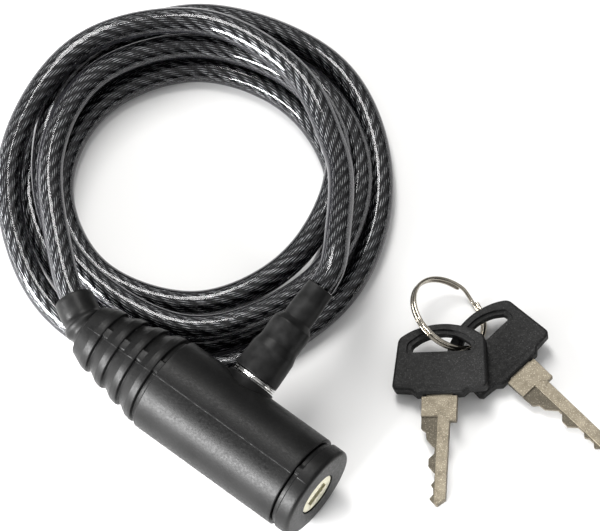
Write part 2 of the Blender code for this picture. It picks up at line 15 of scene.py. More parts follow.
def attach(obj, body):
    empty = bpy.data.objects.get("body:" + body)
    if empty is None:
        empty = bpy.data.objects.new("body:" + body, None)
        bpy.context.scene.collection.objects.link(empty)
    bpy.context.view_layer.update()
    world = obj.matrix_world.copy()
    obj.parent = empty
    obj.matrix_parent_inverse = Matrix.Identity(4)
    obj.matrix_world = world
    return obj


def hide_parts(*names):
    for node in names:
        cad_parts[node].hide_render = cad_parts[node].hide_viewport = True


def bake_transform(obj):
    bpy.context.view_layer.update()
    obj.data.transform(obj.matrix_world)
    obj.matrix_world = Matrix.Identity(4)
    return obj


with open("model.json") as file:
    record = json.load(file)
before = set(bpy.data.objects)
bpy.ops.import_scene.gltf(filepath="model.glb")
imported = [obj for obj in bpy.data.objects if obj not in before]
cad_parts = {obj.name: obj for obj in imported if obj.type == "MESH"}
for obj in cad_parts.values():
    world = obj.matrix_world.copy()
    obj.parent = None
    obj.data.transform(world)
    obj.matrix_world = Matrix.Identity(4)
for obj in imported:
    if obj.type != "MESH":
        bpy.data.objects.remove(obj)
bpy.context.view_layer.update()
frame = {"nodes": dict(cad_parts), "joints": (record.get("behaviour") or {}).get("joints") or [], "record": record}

MM = 0.001
GAP = 0.3
SHARP = math.radians(50)       # edges steeper than this stay sharp in the shading
CUT_SHARP = math.radians(38)   # the same on pieces with cuts
WELD = 0.002 * MM              # points closer than this on turned and flat pieces are one
LEVEL_AREA = 6.0               # faces larger than this, in square millimetres, are shaded flat


def mm(*values):
    return Vector([value * MM for value in values])


def smoothstep(low, high, value):
    part = min(max((value - low) / (high - low), 0.0), 1.0)
    return part * part * (3 - 2 * part)


# ---- frames of the lock and the keys -----------------------------------------------------

JOINTS = {joint["name"]: joint for joint in frame["joints"]}
BODY_LENGTH = 87.0
SOCKET_AT = 50.0
BOOT_BOTTOM = 17.8
BOOT_LENGTH = 33.0


def lock_matrix():
    """Lock frame: +X to the key face, +Y out of the socket, origin at the first rib."""
    turn = JOINTS["key_turn"]
    along = -Vector(turn["axis"]).normalized()
    socket = Vector(JOINTS["plug_pull"]["axis"]).normalized()
    side = along.cross(socket)
    origin = Vector(turn["pos_m"]) - along * BODY_LENGTH * MM
    return Matrix.Translation(origin) @ Matrix((along, socket, side)).transposed().to_4x4()


LOCK = lock_matrix()
SOCKET = LOCK @ Matrix.Translation(mm(SOCKET_AT, 0, 0)) @ Matrix.Rotation(math.radians(90), 4, "Z")

KEYS = (                       # name, slot centre, heading of +X, slope of +X, slope of +Y
    ("key_a", (33.5, 20.7, 8.2), -4.0, 0.20, 0.108),
    ("key_b", (45.2, 25.8, 5.4), 43.5, 0.15, 0.06),
)
RING_CENTRE = (35.5, 31.4, 7.9)
RING_TILT = 31.0
RING_LEAN = -8.0


def key_matrix(place, heading, rise_x, rise_y):
    """Key frame: +X across the head, +Y away from the blade, origin at the slot's centre."""
    turn = math.radians(heading)
    across = Vector((math.cos(turn), math.sin(turn), rise_x)).normalized()
    up = Vector((-math.sin(turn), math.cos(turn), rise_y))
    normal = across.cross(up).normalized()
    up = normal.cross(across)
    return Matrix.Translation(mm(*place)) @ Matrix((across, up, normal)).transposed().to_4x4()


# ---- the cable's route, as in part.py ----------------------------------------------------

CABLE_R = 4.0
SETTLE_ROUNDS = 40
COIL_CENTRE = (-41.1, 78.9)
TAIL_ROUTE = (                 # world X, Y from the coil's centre, height
    (-24.5, -65.7, 19.7),
    (-28.45, -62.65, 20.0),
    (-31.5, -60.0, 20.3),
    (-34.0, -56.0, 20.8),
    (-36.6, -50.0, 21.5),
)
TURN_ANGLES = (225, 180, 135, 90, 45, 0, -45, -90)
TURN_LAYS = (                  # radius and height at each of TURN_ANGLES
    ((56.3, 21.8), (44.5, 19.6), (44.5, 17.1), (45.6, 12.4), (45.0, 12.4), (43.6, 17.2),
     (42.0, 10.0), (42.2, 4.0)),
    ((42.9, 4.0), (42.0, 4.0), (41.8, 4.0), (42.0, 4.0), (41.6, 4.0), (43.8, 4.0),
     (50.0, 4.0), (55.8, 4.0)),
    ((52.3, 4.0), (51.5, 4.0), (51.3, 4.0), (51.2, 4.0), (51.2, 4.8), (50.0, 10.6),
     (52.5, 12.0), (55.2, 12.2)),
    ((48.8, 11.7), (46.8, 11.3), (52.4, 12.4), (57.2, 10.4), (59.9, 4.5), (56.4, 4.0),
     (59.6, 4.0), (64.9, 4.0)),
    ((61.8, 4.6), (57.4, 12.9), (53.4, 21.4), (48.6, 21.6), (42.4, 22.2), (42.3, 25.8)),
)
PLUG_ROUTE = (                 # angle, radius, height
    (-20.0, 47.0, 30.4),
    (-41.8, 57.2, 35.8),
)


def tail_points():
    """Points of the cable's end in the strain relief."""
    x, y = COIL_CENTRE
    return [mm(x + px, y + py, pz) for px, py, pz in TAIL_ROUTE]


def on_coil(angle, radius, height):
    """Point at an angle in degrees and a radius round the coil's centre."""
    turn = math.radians(angle)
    x, y = COIL_CENTRE
    return mm(x + radius * math.cos(turn), y + radius * math.sin(turn), height)


def spline_points(points, steps):
    """Catmull-Rom curve through points, with a number of steps from each to the next."""
    ends = [points[0] * 2 - points[1], *points, points[-1] * 2 - points[-2]]
    made = []
    for a, b, c, d in zip(ends, ends[1:], ends[2:], ends[3:]):
        for i in range(steps):
            t = i / steps
            made.append(0.5 * (2 * b + (c - a) * t + (2 * a - 5 * b + 4 * c - d) * t ** 2
                               + (3 * b - a - 3 * c + d) * t ** 3))
    made.append(points[-1])
    return made


def even_line(points, spacing):
    """The same line as an array of points at an even distance, about spacing metres."""
    line = np.array([tuple(point) for point in points])
    reach = np.r_[0.0, np.cumsum(np.linalg.norm(np.diff(line, axis=0), axis=1))]
    count = int(round(reach[-1] / spacing)) + 1
    want = np.linspace(0.0, reach[-1], count)
    return np.stack([np.interp(want, reach, line[:, k]) for k in range(3)], axis=1)


def settle(line, rounds, low):
    """Rounds off the line's bends between its fixed ends, and keeps it above low."""
    for _ in range(rounds):
        line[1:-1] = 0.5 * line[1:-1] + 0.25 * (line[:-2] + line[2:])
        line[:, 2] = np.maximum(line[:, 2], low)
    return line


def cable_line():
    """Centreline from inside the strain relief, round the coil and into the boot."""
    route = tail_points()
    for turn, lays in enumerate(TURN_LAYS):
        for angle, (radius, height) in zip(TURN_ANGLES, lays):
            route.append(on_coil(angle - 360 * turn, radius, height))
    route += [on_coil(*row) for row in PLUG_ROUTE]
    boot_end = BOOT_BOTTOM + BOOT_LENGTH
    route += [LOCK @ mm(SOCKET_AT, boot_end + ahead, 0) for ahead in (6.0, GAP)]
    points = spline_points(route, 16)
    for point in points:
        point.z = max(point.z, CABLE_R * MM)
    return settle(even_line(points, 1.0 * MM), SETTLE_ROUNDS, CABLE_R * MM)


# ---- mesh helpers ------------------------------------------------------------------------

def add_object(name, data, material, body, slot, *replaced):
    """Links a piece, gives it its material and body, and hides the CAD nodes it stands for."""
    obj = bpy.data.objects.new(name, data)
    bpy.context.scene.collection.objects.link(obj)
    data.materials.append(material)
    if body:
        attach(obj, body)
    if replaced:
        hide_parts(*replaced)
    return obj


def turn_outwards(mesh, merge=0.0):
    """Makes the faces point outwards; points closer than merge metres become one first."""
    bm = bmesh.new()
    bm.from_mesh(mesh)
    if merge:
        bmesh.ops.remove_doubles(bm, verts=bm.verts, dist=merge)
    bmesh.ops.recalc_face_normals(bm, faces=bm.faces)
    bm.to_mesh(mesh)
    bm.free()
    mesh.shade_smooth()
    mesh.set_sharp_from_angle(angle=SHARP)
    return mesh


def grid_mesh(name, rings, cyclic=False):
    """Skin over rings of equally many points; the ends are closed with flat caps."""
    count, sides = len(rings), len(rings[0])
    verts = np.asarray(rings, dtype=float).reshape(-1, 3)
    faces = []
    last = count if cyclic else count - 1
    for i in range(last):
        a, b = i * sides, ((i + 1) % count) * sides
        for j in range(sides):
            k = (j + 1) % sides
            faces.append((a + j, a + k, b + k, b + j))
    if not cyclic:
        faces.append(tuple(reversed(range(sides))))
        faces.append(tuple(range((count - 1) * sides, count * sides)))
    mesh = bpy.data.meshes.new(name)
    mesh.from_pydata(verts.tolist(), [], faces)
    mesh.update()
    return turn_outwards(mesh)


def carried_frames(line):
    """Tangent and two normals at each point, turned as little as possible along the line."""
    tangents = np.gradient(line, axis=0)
    tangents /= np.linalg.norm(tangents, axis=1)[:, None]
    normal = np.cross(tangents[0], (0.0, 0.0, 1.0))
    normals = []
    for tangent in tangents:
        normal = normal - tangent * (normal @ tangent)
        normal /= np.linalg.norm(normal)
        normals.append(normal.copy())
    normals = np.array(normals)
    return tangents, normals, np.cross(tangents, normals)


def tube_rings(line, radii, sides):
    """Rings of points round a line; radii is one number or one for each point, in metres."""
    _, normals, sideways = carried_frames(line)
    radii = np.broadcast_to(np.asarray(radii, dtype=float), (len(line),))
    rings = []
    for j in range(sides):
        angle = 2 * math.pi * j / sides
        rings.append(line + (normals * math.cos(angle) + sideways * math.sin(angle))
                     * radii[:, None])
    return np.stack(rings, axis=1)


def fillet(outline, radii, steps=4):
    """Rounds an outline's corners. radii holds one number for each corner, 0 to keep it sharp."""
    made = []
    count = len(outline)
    for i, (corner, radius) in enumerate(zip(outline, radii)):
        here = Vector(corner)
        if not radius:
            made.append(tuple(here))
            continue
        before = Vector(outline[i - 1]) - here
        after = Vector(outline[(i + 1) % count]) - here
        angle = before.angle(after)
        reach = min(radius / math.tan(angle / 2), before.length * 0.49, after.length * 0.49)
        start, end = here + before.normalized() * reach, here + after.normalized() * reach
        for k in range(steps + 1):
            t = k / steps
            made.append(tuple(start * (1 - t) ** 2 + here * 2 * t * (1 - t) + end * t ** 2))
    return made


def turned_mesh(name, outline, matrix, steps=96, angles=None, shape=None):
    """Solid of revolution about +X from a closed outline of (along, radius).

    shape(along, radius, angle) gives a change of radius in millimetres.
    """
    angles = angles or [2 * math.pi * i / steps for i in range(steps)]
    rings = []
    for angle in angles:
        ring = []
        for along, radius in outline:
            wide = radius + (shape(along, radius, angle) if shape else 0.0)
            ring.append(matrix @ mm(along, wide * math.cos(angle), wide * math.sin(angle)))
        rings.append([tuple(point) for point in ring])
    return turn_outwards(grid_mesh(name, rings, cyclic=True), WELD)


def arc(centre, radius, start, end, steps):
    """Points on an arc between two angles in degrees."""
    points = []
    for i in range(steps + 1):
        turn = math.radians(start + (end - start) * i / steps)
        points.append((centre[0] + radius * math.cos(turn), centre[1] + radius * math.sin(turn)))
    return points


def rounded(points, steps):
    """Rounds an outline of (along, radius, rounding)."""
    return fillet([point[:2] for point in points], [point[2] for point in points], steps)


def box_mesh(low, high, matrix, round_edge=0.0):
    """Block between two corners, in the frame given by matrix."""
    bm = bmesh.new()
    bmesh.ops.create_cube(bm, size=1.0)
    size = [(b - a) * MM for a, b in zip(low, high)]
    middle = [(a + b) / 2 for a, b in zip(low, high)]
    bmesh.ops.scale(bm, verts=bm.verts, vec=size)
    bmesh.ops.translate(bm, verts=bm.verts, vec=mm(*middle))
    if round_edge:
        bmesh.ops.bevel(bm, geom=list(bm.edges), offset=round_edge * MM, segments=3, profile=0.5,
                        affect="EDGES")
    bmesh.ops.transform(bm, verts=bm.verts, matrix=matrix)
    mesh = bpy.data.meshes.new("block")
    bm.to_mesh(mesh)
    bm.free()
    return mesh


def plate_mesh(name, outline, low, high, matrix, edge, holes=(), steps=3):
    """Flat plate between two heights, with round edges, in the frame given by matrix."""
    curve = bpy.data.curves.new(name, "CURVE")
    curve.dimensions = "2D"
    curve.fill_mode = "BOTH"
    curve.extrude = ((high - low) / 2 - edge) * MM
    curve.bevel_depth = edge * MM
    curve.bevel_resolution = steps
    curve.offset = -edge * MM
    for ring in (outline, *holes):
        spline = curve.splines.new("POLY")
        spline.points.add(len(ring) - 1)
        for point, (x, y) in zip(spline.points, ring):
            point.co = (x * MM, y * MM, 0, 1)
        spline.use_cyclic_u = True
    holder = bpy.data.objects.new(name, curve)
    bpy.context.scene.collection.objects.link(holder)
    graph = bpy.context.evaluated_depsgraph_get()
    mesh = bpy.data.meshes.new_from_object(holder.evaluated_get(graph))
    bpy.data.objects.remove(holder)
    mesh.transform(matrix @ Matrix.Translation(mm(0, 0, (low + high) / 2)))
    mesh.name = name
    mesh.materials.clear()
    return turn_outwards(mesh, WELD)


def flatten(mesh):
    """Shades the large level faces flat, so that their edges' rounding does not bend them."""
    for face in mesh.polygons:
        if face.area > LEVEL_AREA * MM * MM:
            face.use_smooth = False


def cut_with(obj, cutter_mesh):
    """Cuts a closed mesh out of an object and leaves the result as its mesh."""
    cutter = bpy.data.objects.new("cutter", cutter_mesh)
    bpy.context.scene.collection.objects.link(cutter)
    modifier = obj.modifiers.new("cut", "BOOLEAN")
    modifier.object = cutter
    graph = bpy.context.evaluated_depsgraph_get()
    mesh = bpy.data.meshes.new_from_object(obj.evaluated_get(graph))
    obj.modifiers.clear()
    old = obj.data
    obj.data = mesh
    mesh.name = obj.name
    bpy.data.meshes.remove(old)
    bpy.data.objects.remove(cutter)
    mesh.shade_smooth()
    mesh.set_sharp_from_angle(angle=CUT_SHARP)
    flatten(mesh)


# ---- materials ---------------------------------------------------------------------------

class Nodes:
    """Short names for the nodes that the materials are wired from."""

    def __init__(self, name):
        self.material = bpy.data.materials.new(name)
        self.material.use_nodes = True
        self.tree = self.material.node_tree
        self.tree.nodes.clear()
        self.output = self.tree.nodes.new("ShaderNodeOutputMaterial")

    def node(self, kind, **values):
        made = self.tree.nodes.new("ShaderNode" + kind)
        for name, value in values.items():
            setattr(made, name, value)
        return made

    def link(self, start, end):
        self.tree.links.new(start, end)

    def feed(self, socket, value):
        """Sets a socket to a number or a colour, or links another node's output to it."""
        if isinstance(value, (int, float)):
            socket.default_value = value
        elif isinstance(value, tuple):
            socket.default_value = (*value, 1.0)
        else:
            self.link(value, socket)

    def object_point(self):
        return self.node("TexCoord").outputs["Object"]

    def noise(self, point, scale, detail=2.0, rough=0.5):
        made = self.node("TexNoise")
        made.inputs["Scale"].default_value = scale
        made.inputs["Detail"].default_value = detail
        made.inputs["Roughness"].default_value = rough
        self.link(point, made.inputs["Vector"])
        return made.outputs["Fac"]

    def ramp(self, value, *stops):
        """Colour ramp; a stop is (position, grey or colour)."""
        made = self.node("ValToRGB")
        elements = made.color_ramp.elements
        while len(elements) < len(stops):
            elements.new(0.5)
        for element, (position, colour) in zip(elements, stops):
            element.position = position
            colour = (colour,) * 3 if isinstance(colour, (int, float)) else colour
            element.color = (*colour, 1.0)
        self.link(value, made.inputs["Fac"])
        return made.outputs["Color"]

    def math(self, operation, *values):
        made = self.node("Math", operation=operation)
        for socket, value in zip(made.inputs, values):
            self.feed(socket, value)
        return made.outputs[0]

    def mix(self, factor, first, second):
        made = self.node("Mix", data_type="RGBA")
        for index, value in ((0, factor), (6, first), (7, second)):
            self.feed(made.inputs[index], value)
        return made.outputs[2]

    def mix_shader(self, factor, first, second):
        made = self.node("MixShader")
        for socket, value in zip(made.inputs, (factor, first, second)):
            self.link(value, socket)
        return made.outputs[0]

    def bump(self, height, strength, distance, below=None):
        made = self.node("Bump")
        made.inputs["Strength"].default_value = strength
        made.inputs["Distance"].default_value = distance
        self.link(height, made.inputs["Height"])
        if below:
            self.link(below, made.inputs["Normal"])
        return made.outputs["Normal"]

    def surface(self, colour, rough, metallic=0.0, normal=None, specular=0.5):
        shader = self.node("BsdfPrincipled")
        self.feed(shader.inputs["Base Color"], colour)
        self.feed(shader.inputs["Roughness"], rough)
        shader.inputs["Metallic"].default_value = metallic
        shader.inputs["Specular IOR Level"].default_value = specular
        if normal:
            self.link(normal, shader.inputs["Normal"])
        self.link(shader.outputs[0], self.output.inputs["Surface"])


def grained_plastic(name, dark, light, rough, grain, depth, speckle=0.06):
    """Moulded plastic with a fine spark-eroded grain and faint rubbed patches; the light specks painted into its
    colour over the grain are painted glints.
    """
    nodes = Nodes(name)
    point = nodes.object_point()
    fine = nodes.noise(point, 1.0 / (grain * MM), 3.0, 0.6)
    wide = nodes.noise(point, 90.0, 3.0)
    tone = nodes.ramp(wide, (0.3, dark), (0.75, light))
    # light specks in the colour, up to the grey given as speckle: painted glints of the grain
    speck = nodes.ramp(fine, (0.55, 0.0), (0.8, 1.0))
    colour = nodes.mix(nodes.math("MULTIPLY", speck, 0.3), tone, (speckle,) * 3)
    level = nodes.ramp(nodes.noise(point, 1.0 / (grain * 2.2 * MM), 2.0),
                       (0.3, rough - 0.07), (0.7, rough + 0.1))
    normal = nodes.bump(fine, depth, 0.00005)
    nodes.surface(colour, level, normal=normal, specular=0.16)
    return nodes.material


def satin_boot():
    """Softer moulding, smooth between shallow ripples."""
    nodes = Nodes("boot_satin")
    point = nodes.object_point()
    soft = nodes.noise(point, 260.0, 3.0)
    fine = nodes.noise(point, 3200.0, 2.0)
    colour = nodes.ramp(soft, (0.3, 0.004), (0.75, 0.012))
    level = nodes.ramp(soft, (0.3, 0.3), (0.7, 0.46))
    normal = nodes.bump(fine, 0.18, 0.0001, nodes.bump(soft, 0.12, 0.0008))
    nodes.surface(colour, level, normal=normal, specular=0.13)
    return nodes.material


def metal(name, colour, rough, scale, depth=0.1, spread=0.12):
    """Metal with a cloudy tone and fine marks."""
    nodes = Nodes(name)
    marks = nodes.noise(nodes.object_point(), scale, 4.0, 0.6)
    darker = tuple(channel * 0.72 for channel in colour)
    tone = nodes.ramp(marks, (0.3, darker), (0.65, colour))
    level = nodes.ramp(marks, (0.3, max(rough - spread, 0.03)), (0.7, rough + spread))
    nodes.surface(tone, level, 1.0, nodes.bump(marks, depth, 0.0001))
    return nodes.material


def blade_nickel(name="blade_nickel", share=1.0):
    """Dull warm nickel plate with a fine bright speckle and cloudy handling marks."""
    nodes = Nodes(name)
    point = nodes.object_point()
    cloud = nodes.noise(point, 330.0, 3.0)
    speck = nodes.ramp(nodes.noise(point, 2600.0, 2.0), (0.56, 0.0), (0.7, 1.0))
    # share below 1 darkens the colour; the copy at 0.4 is painted shade for the milled step's floor
    low, high = (tuple(share * part for part in (0.11, 0.094, 0.068)),
                 tuple(share * part for part in (0.22, 0.193, 0.146)))
    tone = nodes.ramp(cloud, (0.3, low), (0.7, high))
    colour = nodes.mix(nodes.math("MULTIPLY", speck, 0.5 * share), tone, (0.6, 0.54, 0.43))
    level = nodes.ramp(cloud, (0.3, 0.44), (0.7, 0.56))
    nodes.surface(colour, level, 0.6, nodes.bump(speck, 0.2, 0.00005), specular=0.25)
    return nodes.material


def smoked_jacket():
    """Clear smoked vinyl: shows the rope in its middle, dark at its edges, wet-looking gloss."""
    nodes = Nodes("smoked_vinyl")
    point = nodes.object_point()
    facing = nodes.node("LayerWeight")
    facing.inputs["Blend"].default_value = 0.5
    gloss = nodes.node("BsdfGlossy")
    gloss.inputs["Roughness"].default_value = 0.1
    gloss.inputs["Color"].default_value = (0.9, 0.9, 0.92, 1.0)
    ripple = nodes.bump(nodes.noise(point, 60.0, 0.0), 0.02, 0.001)
    nodes.link(ripple, gloss.inputs["Normal"])
    fresnel = nodes.node("Fresnel")
    fresnel.inputs["IOR"].default_value = 1.5
    clear = nodes.node("BsdfTransparent")
    clear.inputs["Color"].default_value = (0.86, 0.87, 0.89, 1.0)
    smoke = nodes.node("BsdfDiffuse")
    smoke.inputs["Color"].default_value = (0.012, 0.012, 0.014, 1.0)
    depth = nodes.ramp(facing.outputs["Facing"], (0.0, 0.04), (0.36, 0.1), (0.56, 0.85), (0.7, 1.0))
    inner = nodes.mix_shader(depth, clear.outputs[0], smoke.outputs[0])
    outer = nodes.mix_shader(fresnel.outputs[0], inner, gloss.outputs[0])
    nodes.link(outer, nodes.output.inputs["Surface"])
    return nodes.material


def wire_strand():
    """Drawn wires laid along each strand; the bright wire crests are painted glints, and the dark between the
    wires and in the valleys between the strands is painted shade.
    """
    nodes = Nodes("galvanised_strand")
    layer = nodes.node("UVMap", uv_map="lay")
    split = nodes.node("SeparateXYZ")
    nodes.link(layer.outputs[0], split.inputs[0])
    turn = nodes.math("ADD", nodes.math("MULTIPLY", split.outputs["Y"], WIRES_PER_STRAND),
                      nodes.math("MULTIPLY", split.outputs["X"], WIRE_TWIST))
    wave = nodes.math("SINE", nodes.math("MULTIPLY", turn, 2 * math.pi))
    wave = nodes.math("MULTIPLY_ADD", wave, 0.5, 0.5)
    point = nodes.object_point()
    grime = nodes.noise(point, 650.0, 3.0, 0.6)
    worn = nodes.ramp(grime, (0.38, 0.15), (0.6, 1.0))
    # bright crests of the wires: painted glints, broken up at random by the grime noise
    crest_glint = nodes.ramp(wave, (0.55, 0.0), (0.9, 1.0))
    reach = nodes.node("Attribute", attribute_name="reach").outputs["Fac"]
    # dark towards the rope's middle: painted shade in the valleys between the strands
    outer = nodes.ramp(nodes.math("SUBTRACT", reach, VALLEY_SHADE_R), (0.38, 0.0), (0.76, 1.0))
    bright = nodes.math("MULTIPLY", nodes.math("MULTIPLY", crest_glint, worn), outer)
    # dark base: painted shade between the wires; light: the painted glints
    colour = nodes.mix(bright, (0.005, 0.005, 0.006), (0.95, 0.95, 0.94))
    nodes.surface(colour, 0.5, 0.5, nodes.bump(wave, 0.9, 0.0003), specular=0.2)
    return nodes.material


# ---- cable -------------------------------------------------------------------------------

STRANDS = 6
STRAND_R = 1.09
STRAND_CIRCLE_R = 2.18
ROPE_LAY = 30.0                # length of one turn of a strand round the rope
WIRES_PER_STRAND = 9.0
WIRE_TWIST = 0.6               # wires crossing a strand for each millimetre along it
STRAND_SIDES = 12
VALLEY_SHADE_R = 2.5                 # painted shade in the valleys between strands fades into the painted crest glints from here
ROPE_STEP = 1.5                # from one ring to the next, on the rope and on its jacket
JACKET_SIDES = 56
SWAGED = 0.7                   # share of its width that the rope keeps in the lock's crimp
SWAGED_LENGTH = 36.0


def rope_line(line):
    """The cable's line, with the stretches that run into the lock's anchor and the boot."""
    first = [LOCK @ mm(at, 0, 0) for at in (39.5, 24.0, 16.0)]
    boot_end = BOOT_BOTTOM + BOOT_LENGTH
    last = [LOCK @ mm(SOCKET_AT, boot_end - 5.0, 0)]
    return even_line([*first, *line, *last], ROPE_STEP * MM)


def strand_faces(count, base, along):
    """Faces and texture rows of one strand of count rings, starting at vertex base."""
    faces, rows = [], []
    for i in range(count - 1):
        for j in range(STRAND_SIDES):
            n = (j + 1) % STRAND_SIDES
            a, b = base + i * STRAND_SIDES, base + (i + 1) * STRAND_SIDES
            faces.append((a + j, a + n, b + n, b + j))
            v, w = j / STRAND_SIDES, (j + 1) / STRAND_SIDES
            rows += [(along[i], v), (along[i], w), (along[i + 1], w), (along[i + 1], v)]
    for start, turned in ((base, True), (base + (count - 1) * STRAND_SIDES, False)):
        cap = range(start, start + STRAND_SIDES)
        faces.append(tuple(reversed(cap)) if turned else tuple(cap))
        rows += [(0.0, 0.0)] * STRAND_SIDES
    return faces, rows


def strands_mesh(line):
    """Six strands wound round the rope's line; tighter where they enter their crimps."""
    _, normals, sideways = carried_frames(line)
    along = np.arange(len(line)) * ROPE_STEP
    inside = np.minimum(along / SWAGED_LENGTH, 1.0)
    tight = (SWAGED + (1 - SWAGED) * inside ** 2 * (3 - 2 * inside))[:, None]
    verts, faces, rows, depths = [], [], [], []
    for k in range(STRANDS):
        angle = 2 * math.pi * (k / STRANDS + along / ROPE_LAY)
        out = normals * np.cos(angle)[:, None] + sideways * np.sin(angle)[:, None]
        centre = line + out * tight * STRAND_CIRCLE_R * MM
        rings = tube_rings(centre, tight[:, 0] * STRAND_R * MM, STRAND_SIDES)
        made, laid = strand_faces(len(line), len(verts), along)
        verts += rings.reshape(-1, 3).tolist()
        faces += made
        rows += laid
        reach = np.linalg.norm(rings - line[:, None], axis=2) / tight / MM
        depths.append(reach.ravel())
    mesh = bpy.data.meshes.new("rope_strands")
    mesh.from_pydata(verts, [], faces)
    layer = mesh.uv_layers.new(name="lay")
    layer.data.foreach_set("uv", np.array(rows, dtype=np.float32).ravel())
    reach = mesh.attributes.new("reach", "FLOAT", "POINT")
    reach.data.foreach_set("value", np.concatenate(depths).astype(np.float32))
    mesh.update()
    mesh.shade_smooth()
    return mesh


def make_cable():
    """Smoked jacket and the rope in it."""
    line = cable_line()
    tube = tube_rings(even_line(line, ROPE_STEP * MM), CABLE_R * MM, JACKET_SIDES)
    jacket = add_object("cable_jacket_skin", grid_mesh("cable_jacket_skin", tube),
                        smoked_jacket(), None, "cable_vinyl", "cable_jacket")
    rope = add_object("cable_rope_strands", strands_mesh(rope_line(line)), wire_strand(), None,
                      "wire_rope", "cable_rope")
    for piece in (jacket, rope):
        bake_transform(piece)
    return line, jacket, rope


# ---- camera, floor and light -------------------------------------------------------------

VIEW_CENTRE = (-9.5, 52.9, 0.0)
VIEW_WIDTH = 183.0             # millimetres across the picture at the view's centre
VIEW_DISTANCE = 2400.0
VIEW_RISE = 60.0               # degrees above the table
LIGHTS = (                     # name, direction from the object, distance, size, power, colour
    ("overhead_box", (-0.17, 0.38, 0.85), 1.2, (0.36, 0.72), 11.0, (1.0, 0.99, 0.97)),
    ("left_panel", (-0.80, -0.55, 0.24), 0.9, (0.8, 0.34), 42.0, (1.0, 1.0, 1.0)),
)
SKY = 0.7                      # white overhead, fading to a share of it at the horizon
SKY_LOW = 0.12
SKY_BAND = (0.1, 0.75)         # sine of the heights between which it fades
FLOOR_HALF = 3.0               # metres


def make_camera():
    """Long lens from in front, above the table."""
    data = bpy.data.cameras.new("camera")
    data.sensor_width = 36.0
    data.lens = data.sensor_width * VIEW_DISTANCE / VIEW_WIDTH
    camera = bpy.data.objects.new("camera", data)
    rise = math.radians(VIEW_RISE)
    camera.location = mm(*VIEW_CENTRE) + mm(0, -math.cos(rise), math.sin(rise)) * VIEW_DISTANCE
    camera.rotation_euler = (math.radians(90) - rise, 0, 0)
    bpy.context.scene.collection.objects.link(camera)
    bpy.context.scene.camera = camera
    bpy.context.scene.view_settings.view_transform = "Standard"


def make_floor():
    """Plain pale table."""
    bm = bmesh.new()
    bmesh.ops.create_grid(bm, x_segments=1, y_segments=1, size=FLOOR_HALF)
    mesh = bpy.data.meshes.new("floor")
    bm.to_mesh(mesh)
    bm.free()
    nodes = Nodes("pale_table")
    tone = nodes.ramp(nodes.noise(nodes.object_point(), 3.0), (0.3, 0.86), (0.7, 0.88))
    nodes.surface(tone, 0.75, specular=0.1)
    mesh.materials.append(nodes.material)
    floor = bpy.data.objects.new("floor", mesh)
    bpy.context.scene.collection.objects.link(floor)


def make_sky():
    """White sky, brighter overhead than at the horizon."""
    world = bpy.data.worlds.new("studio")
    world.use_nodes = True
    tree = world.node_tree
    background = tree.nodes["Background"]
    split = tree.nodes.new("ShaderNodeSeparateXYZ")
    tree.links.new(tree.nodes.new("ShaderNodeTexCoord").outputs["Generated"], split.inputs[0])
    height = tree.nodes.new("ShaderNodeMapRange")
    for name, value in (("From Min", SKY_BAND[0]), ("From Max", SKY_BAND[1]),
                        ("To Min", SKY * SKY_LOW), ("To Max", SKY)):
        height.inputs[name].default_value = value
    tree.links.new(split.outputs["Z"], height.inputs["Value"])
    tree.links.new(height.outputs[0], background.inputs["Strength"])
    background.inputs["Color"].default_value = (1.0, 1.0, 1.0, 1.0)
    bpy.context.scene.world = world


def make_lights():
    """Soft rectangular lights, all aimed at the view's centre."""
    middle = mm(*VIEW_CENTRE)
    for name, direction, distance, size, power, colour in LIGHTS:
        data = bpy.data.lights.new(name, "AREA")
        data.shape = "RECTANGLE"
        data.size, data.size_y = size
        data.energy = power
        data.color = colour
        light = bpy.data.objects.new(name, data)
        toward = Vector(direction).normalized()
        light.location = middle + toward * distance
        light.rotation_euler = toward.to_track_quat("Z", "Y").to_euler()
        bpy.context.scene.collection.objects.link(light)


# ---- lock body ---------------------------------------------------------------------------

BODY_R = 15.2
COVER_END = 80.4
BORE_R = 12.75
RIB_PITCH = 6.7
RIB_WIDTH = 4.6
RIB_FIRST = 6.8
RIB_FIRST_R = 10.7
RIB_TAPER = 1.37
RIBS = 4
SHOULDER = 28.9
COVER_STEPS = 48               # rings along the plain part of the cover, for its seam
COLLAR_R = 7.9
COLLAR_TOP = 16.0
PLUG_R = 6.7
SEAM_HALF_WIDTH = 0.7          # degrees
SEAM_HEIGHT = 0.11
SECTOR = 3.0                   # degrees from one line of the body's skin to the next
WEB_FROM = 2.0                 # degrees from the seam where the webs between the ribs begin
WEB_FULL = 4.4
WEB_TO = 21.0                  # and where they end, after a fade
WEB_FADE = 2.5
CAP_TAB_TO = 14.0              # the same for the tab behind the end cap
CAP_TAB_R = 14.9


def from_seam(angle):
    """Degrees from the nearer moulding seam, positive towards the plug socket."""
    turn = math.degrees(angle) % 360
    return 90 - turn if turn <= 180 else turn - 270


def seam_angles():
    """Angles round the body, closer together at the seams and at the webs' ends."""
    fine = (-1.4, -0.7, -0.25, 0.0, 0.25, 0.7, 1.4, 2.2, WEB_FULL, WEB_TO - WEB_FADE, WEB_TO)
    made = {round(i * SECTOR, 2) for i in range(int(360 / SECTOR))}
    for offset in fine:
        made |= {round(90 - offset, 2), round(270 + offset, 2)}
    return [math.radians(turn) for turn in sorted(made)]


def seam_rise(along, angle):
    """Height of the moulding seam's fine ridge, uneven along its length."""
    near = abs(from_seam(angle))
    beads = 0.65 + 0.35 * math.sin(along * 3.1) * math.sin(along * 1.27 + 0.6)
    return SEAM_HEIGHT * beads * max(0.0, 1.0 - near / SEAM_HALF_WIDTH)


def web_share(angle, reach=WEB_TO):
    """1 on the webs that bridge the grooves beside the seam, 0 elsewhere."""
    offset = from_seam(angle)
    return smoothstep(WEB_FROM, WEB_FULL, offset) * (1 - smoothstep(reach - WEB_FADE, reach, offset))


